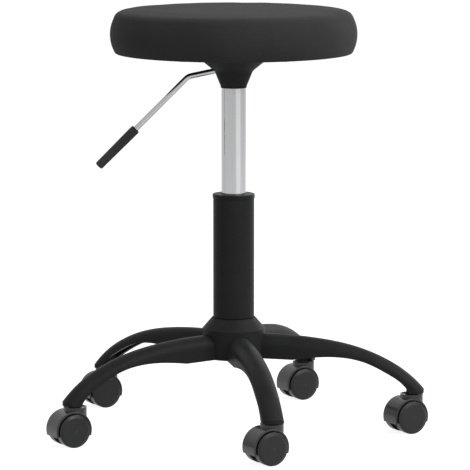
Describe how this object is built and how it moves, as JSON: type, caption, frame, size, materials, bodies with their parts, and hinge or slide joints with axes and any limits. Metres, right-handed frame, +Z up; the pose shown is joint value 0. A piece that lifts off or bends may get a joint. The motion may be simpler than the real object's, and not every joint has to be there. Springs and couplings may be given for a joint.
{
  "type": "adjustable swivel stool",
  "caption": "Round padded swivel stool with a gas-lift column, a release lever under the seat and an arched star base on twin-wheel casters.",
  "frame": {"origin": "on the floor under the column's axis", "axes": "+Z up along the column, front of the stool towards -Y, lever towards -X"},
  "size_m": [0.4605, 0.461, 0.516],
  "materials": {
    "upholstery": "matte woven upholstery, black",
    "foam": "open-cell foam",
    "plywood": "raw plywood",
    "zinc_steel": "zinc-plated steel",
    "bell_black": "glossy black paint",
    "frame_black": "satin black powder coat",
    "bright_chrome": "polished chrome",
    "grip_black": "matte moulded plastic, black",
    "bush_black": "moulded plastic, black",
    "brass": "turned brass",
    "bumper_rubber": "black rubber",
    "hood_black": "glossy moulded plastic, dark grey",
    "wheel_black": "hard moulded plastic, dark grey"
  },
  "bodies": {
    "base": {"base_hub": "frame_black", "base_arm_1": "frame_black", "base_arm_2": "frame_black", "base_arm_3": "frame_black", "base_arm_4": "frame_black", "base_arm_5": "frame_black", "column_tube": "frame_black", "guide_bush": "bush_black", "lower_race": "zinc_steel", "bearing_balls": "zinc_steel", "rod_washer": "zinc_steel", "stem_sockets": "zinc_steel", "caster_stems": "zinc_steel", "stem_grip_rings": "zinc_steel"},
    "lift_rod": {"piston_rod": "bright_chrome", "piston": "brass", "upper_race": "zinc_steel", "rod_bumper": "bumper_rubber", "rod_clip": "zinc_steel"},
    "seat": {"seat_cover": "upholstery", "seat_foam": "foam", "seat_board": "plywood", "tee_nuts": "zinc_steel", "cover_staples": "zinc_steel", "seat_plate": "frame_black", "plate_bolts": "zinc_steel", "plate_washers": "zinc_steel", "bell_housing": "bell_black", "lever_pivot_pin": "zinc_steel", "pressure_tube": "bright_chrome", "valve_body": "brass", "rod_gland": "brass"},
    "lever": {"lever_rod": "bright_chrome", "lever_grip": "grip_black"},
    "release_pin": {"release_pin": "zinc_steel"},
    "caster_1": {"caster_1_hood": "hood_black", "caster_1_axle": "zinc_steel"},
    "caster_1_wheel_left": {"caster_1_wheel_left": "wheel_black"},
    "caster_1_wheel_right": {"caster_1_wheel_right": "wheel_black"},
    "caster_2": {"caster_2_hood": "hood_black", "caster_2_axle": "zinc_steel"},
    "caster_2_wheel_left": {"caster_2_wheel_left": "wheel_black"},
    "caster_2_wheel_right": {"caster_2_wheel_right": "wheel_black"},
    "caster_3": {"caster_3_hood": "hood_black", "caster_3_axle": "zinc_steel"},
    "caster_3_wheel_left": {"caster_3_wheel_left": "wheel_black"},
    "caster_3_wheel_right": {"caster_3_wheel_right": "wheel_black"},
    "caster_4": {"caster_4_hood": "hood_black", "caster_4_axle": "zinc_steel"},
    "caster_4_wheel_left": {"caster_4_wheel_left": "wheel_black"},
    "caster_4_wheel_right": {"caster_4_wheel_right": "wheel_black"},
    "caster_5": {"caster_5_hood": "hood_black", "caster_5_axle": "zinc_steel"},
    "caster_5_wheel_left": {"caster_5_wheel_left": "wheel_black"},
    "caster_5_wheel_right": {"caster_5_wheel_right": "wheel_black"}
  },
  "joints": [
    {"name": "seat_swivel", "type": "hinge", "parent": "base", "child": "lift_rod", "pos_m": [0, 0, 0.1], "axis": [0, 0, 1], "continuous": true},
    {"name": "seat_lift", "type": "slide", "parent": "lift_rod", "child": "seat", "axis": [0, 0, 1], "range_m": [-0.12, 0]},
    {"name": "lever_swing", "type": "hinge", "parent": "seat", "child": "lever", "pos_m": [-0.0175, 0, 0.43977], "axis": [0, 1, 0], "range_deg": [0, 8], "stiffness_Nm_per_rad": 0.5},
    {"name": "release_pin_travel", "type": "slide", "parent": "seat", "child": "release_pin", "axis": [0, 0, -1], "range_m": [0, 0.0025]},
    {"name": "caster_1_swivel", "type": "hinge", "parent": "base", "child": "caster_1", "pos_m": [0.04439, -0.21343, 0.045], "axis": [0, 0, 1], "continuous": true},
    {"name": "caster_1_roll_left", "type": "hinge", "parent": "caster_1", "child": "caster_1_wheel_left", "pos_m": [0.03722, -0.21741, 0.02], "axis": [0.4848, -0.8746, 0], "continuous": true},
    {"name": "caster_1_roll_right", "type": "hinge", "parent": "caster_1", "child": "caster_1_wheel_right", "pos_m": [0.03722, -0.21741, 0.02], "axis": [0.4848, -0.8746, 0], "continuous": true},
    {"name": "caster_2_swivel", "type": "hinge", "parent": "base", "child": "caster_2", "pos_m": [0.2167, -0.02373, 0.045], "axis": [0, 0, 1], "continuous": true},
    {"name": "caster_2_roll_left", "type": "hinge", "parent": "caster_2", "child": "caster_2_wheel_left", "pos_m": [0.20953, -0.02771, 0.02], "axis": [0.4848, -0.8746, 0], "continuous": true},
    {"name": "caster_2_roll_right", "type": "hinge", "parent": "caster_2", "child": "caster_2_wheel_right", "pos_m": [0.20953, -0.02771, 0.02], "axis": [0.4848, -0.8746, 0], "continuous": true},
    {"name": "caster_3_swivel", "type": "hinge", "parent": "base", "child": "caster_3", "pos_m": [0.08954, 0.19876, 0.045], "axis": [0, 0, 1], "continuous": true},
    {"name": "caster_3_roll_left", "type": "hinge", "parent": "caster_3", "child": "caster_3_wheel_left", "pos_m": [0.08236, 0.19479, 0.02], "axis": [0.4848, -0.8746, 0], "continuous": true},
    {"name": "caster_3_roll_right", "type": "hinge", "parent": "caster_3", "child": "caster_3_wheel_right", "pos_m": [0.08236, 0.19479, 0.02], "axis": [0.4848, -0.8746, 0], "continuous": true},
    {"name": "caster_4_swivel", "type": "hinge", "parent": "base", "child": "caster_4", "pos_m": [-0.16137, 0.14658, 0.045], "axis": [0, 0, 1], "continuous": true},
    {"name": "caster_4_roll_left", "type": "hinge", "parent": "caster_4", "child": "caster_4_wheel_left", "pos_m": [-0.16854, 0.1426, 0.02], "axis": [0.4848, -0.8746, 0], "continuous": true},
    {"name": "caster_4_roll_right", "type": "hinge", "parent": "caster_4", "child": "caster_4_wheel_right", "pos_m": [-0.16854, 0.1426, 0.02], "axis": [0.4848, -0.8746, 0], "continuous": true},
    {"name": "caster_5_swivel", "type": "hinge", "parent": "base", "child": "caster_5", "pos_m": [-0.18927, -0.10818, 0.045], "axis": [0, 0, 1], "continuous": true},
    {"name": "caster_5_roll_left", "type": "hinge", "parent": "caster_5", "child": "caster_5_wheel_left", "pos_m": [-0.19644, -0.11215, 0.02], "axis": [0.4848, -0.8746, 0], "continuous": true},
    {"name": "caster_5_roll_right", "type": "hinge", "parent": "caster_5", "child": "caster_5_wheel_right", "pos_m": [-0.19644, -0.11215, 0.02], "axis": [0.4848, -0.8746, 0], "continuous": true}
  ],
  "couplings": [
    {"joint": "release_pin_travel", "follows": "lever_swing", "m_per_rad": 0.0175}
  ]
}
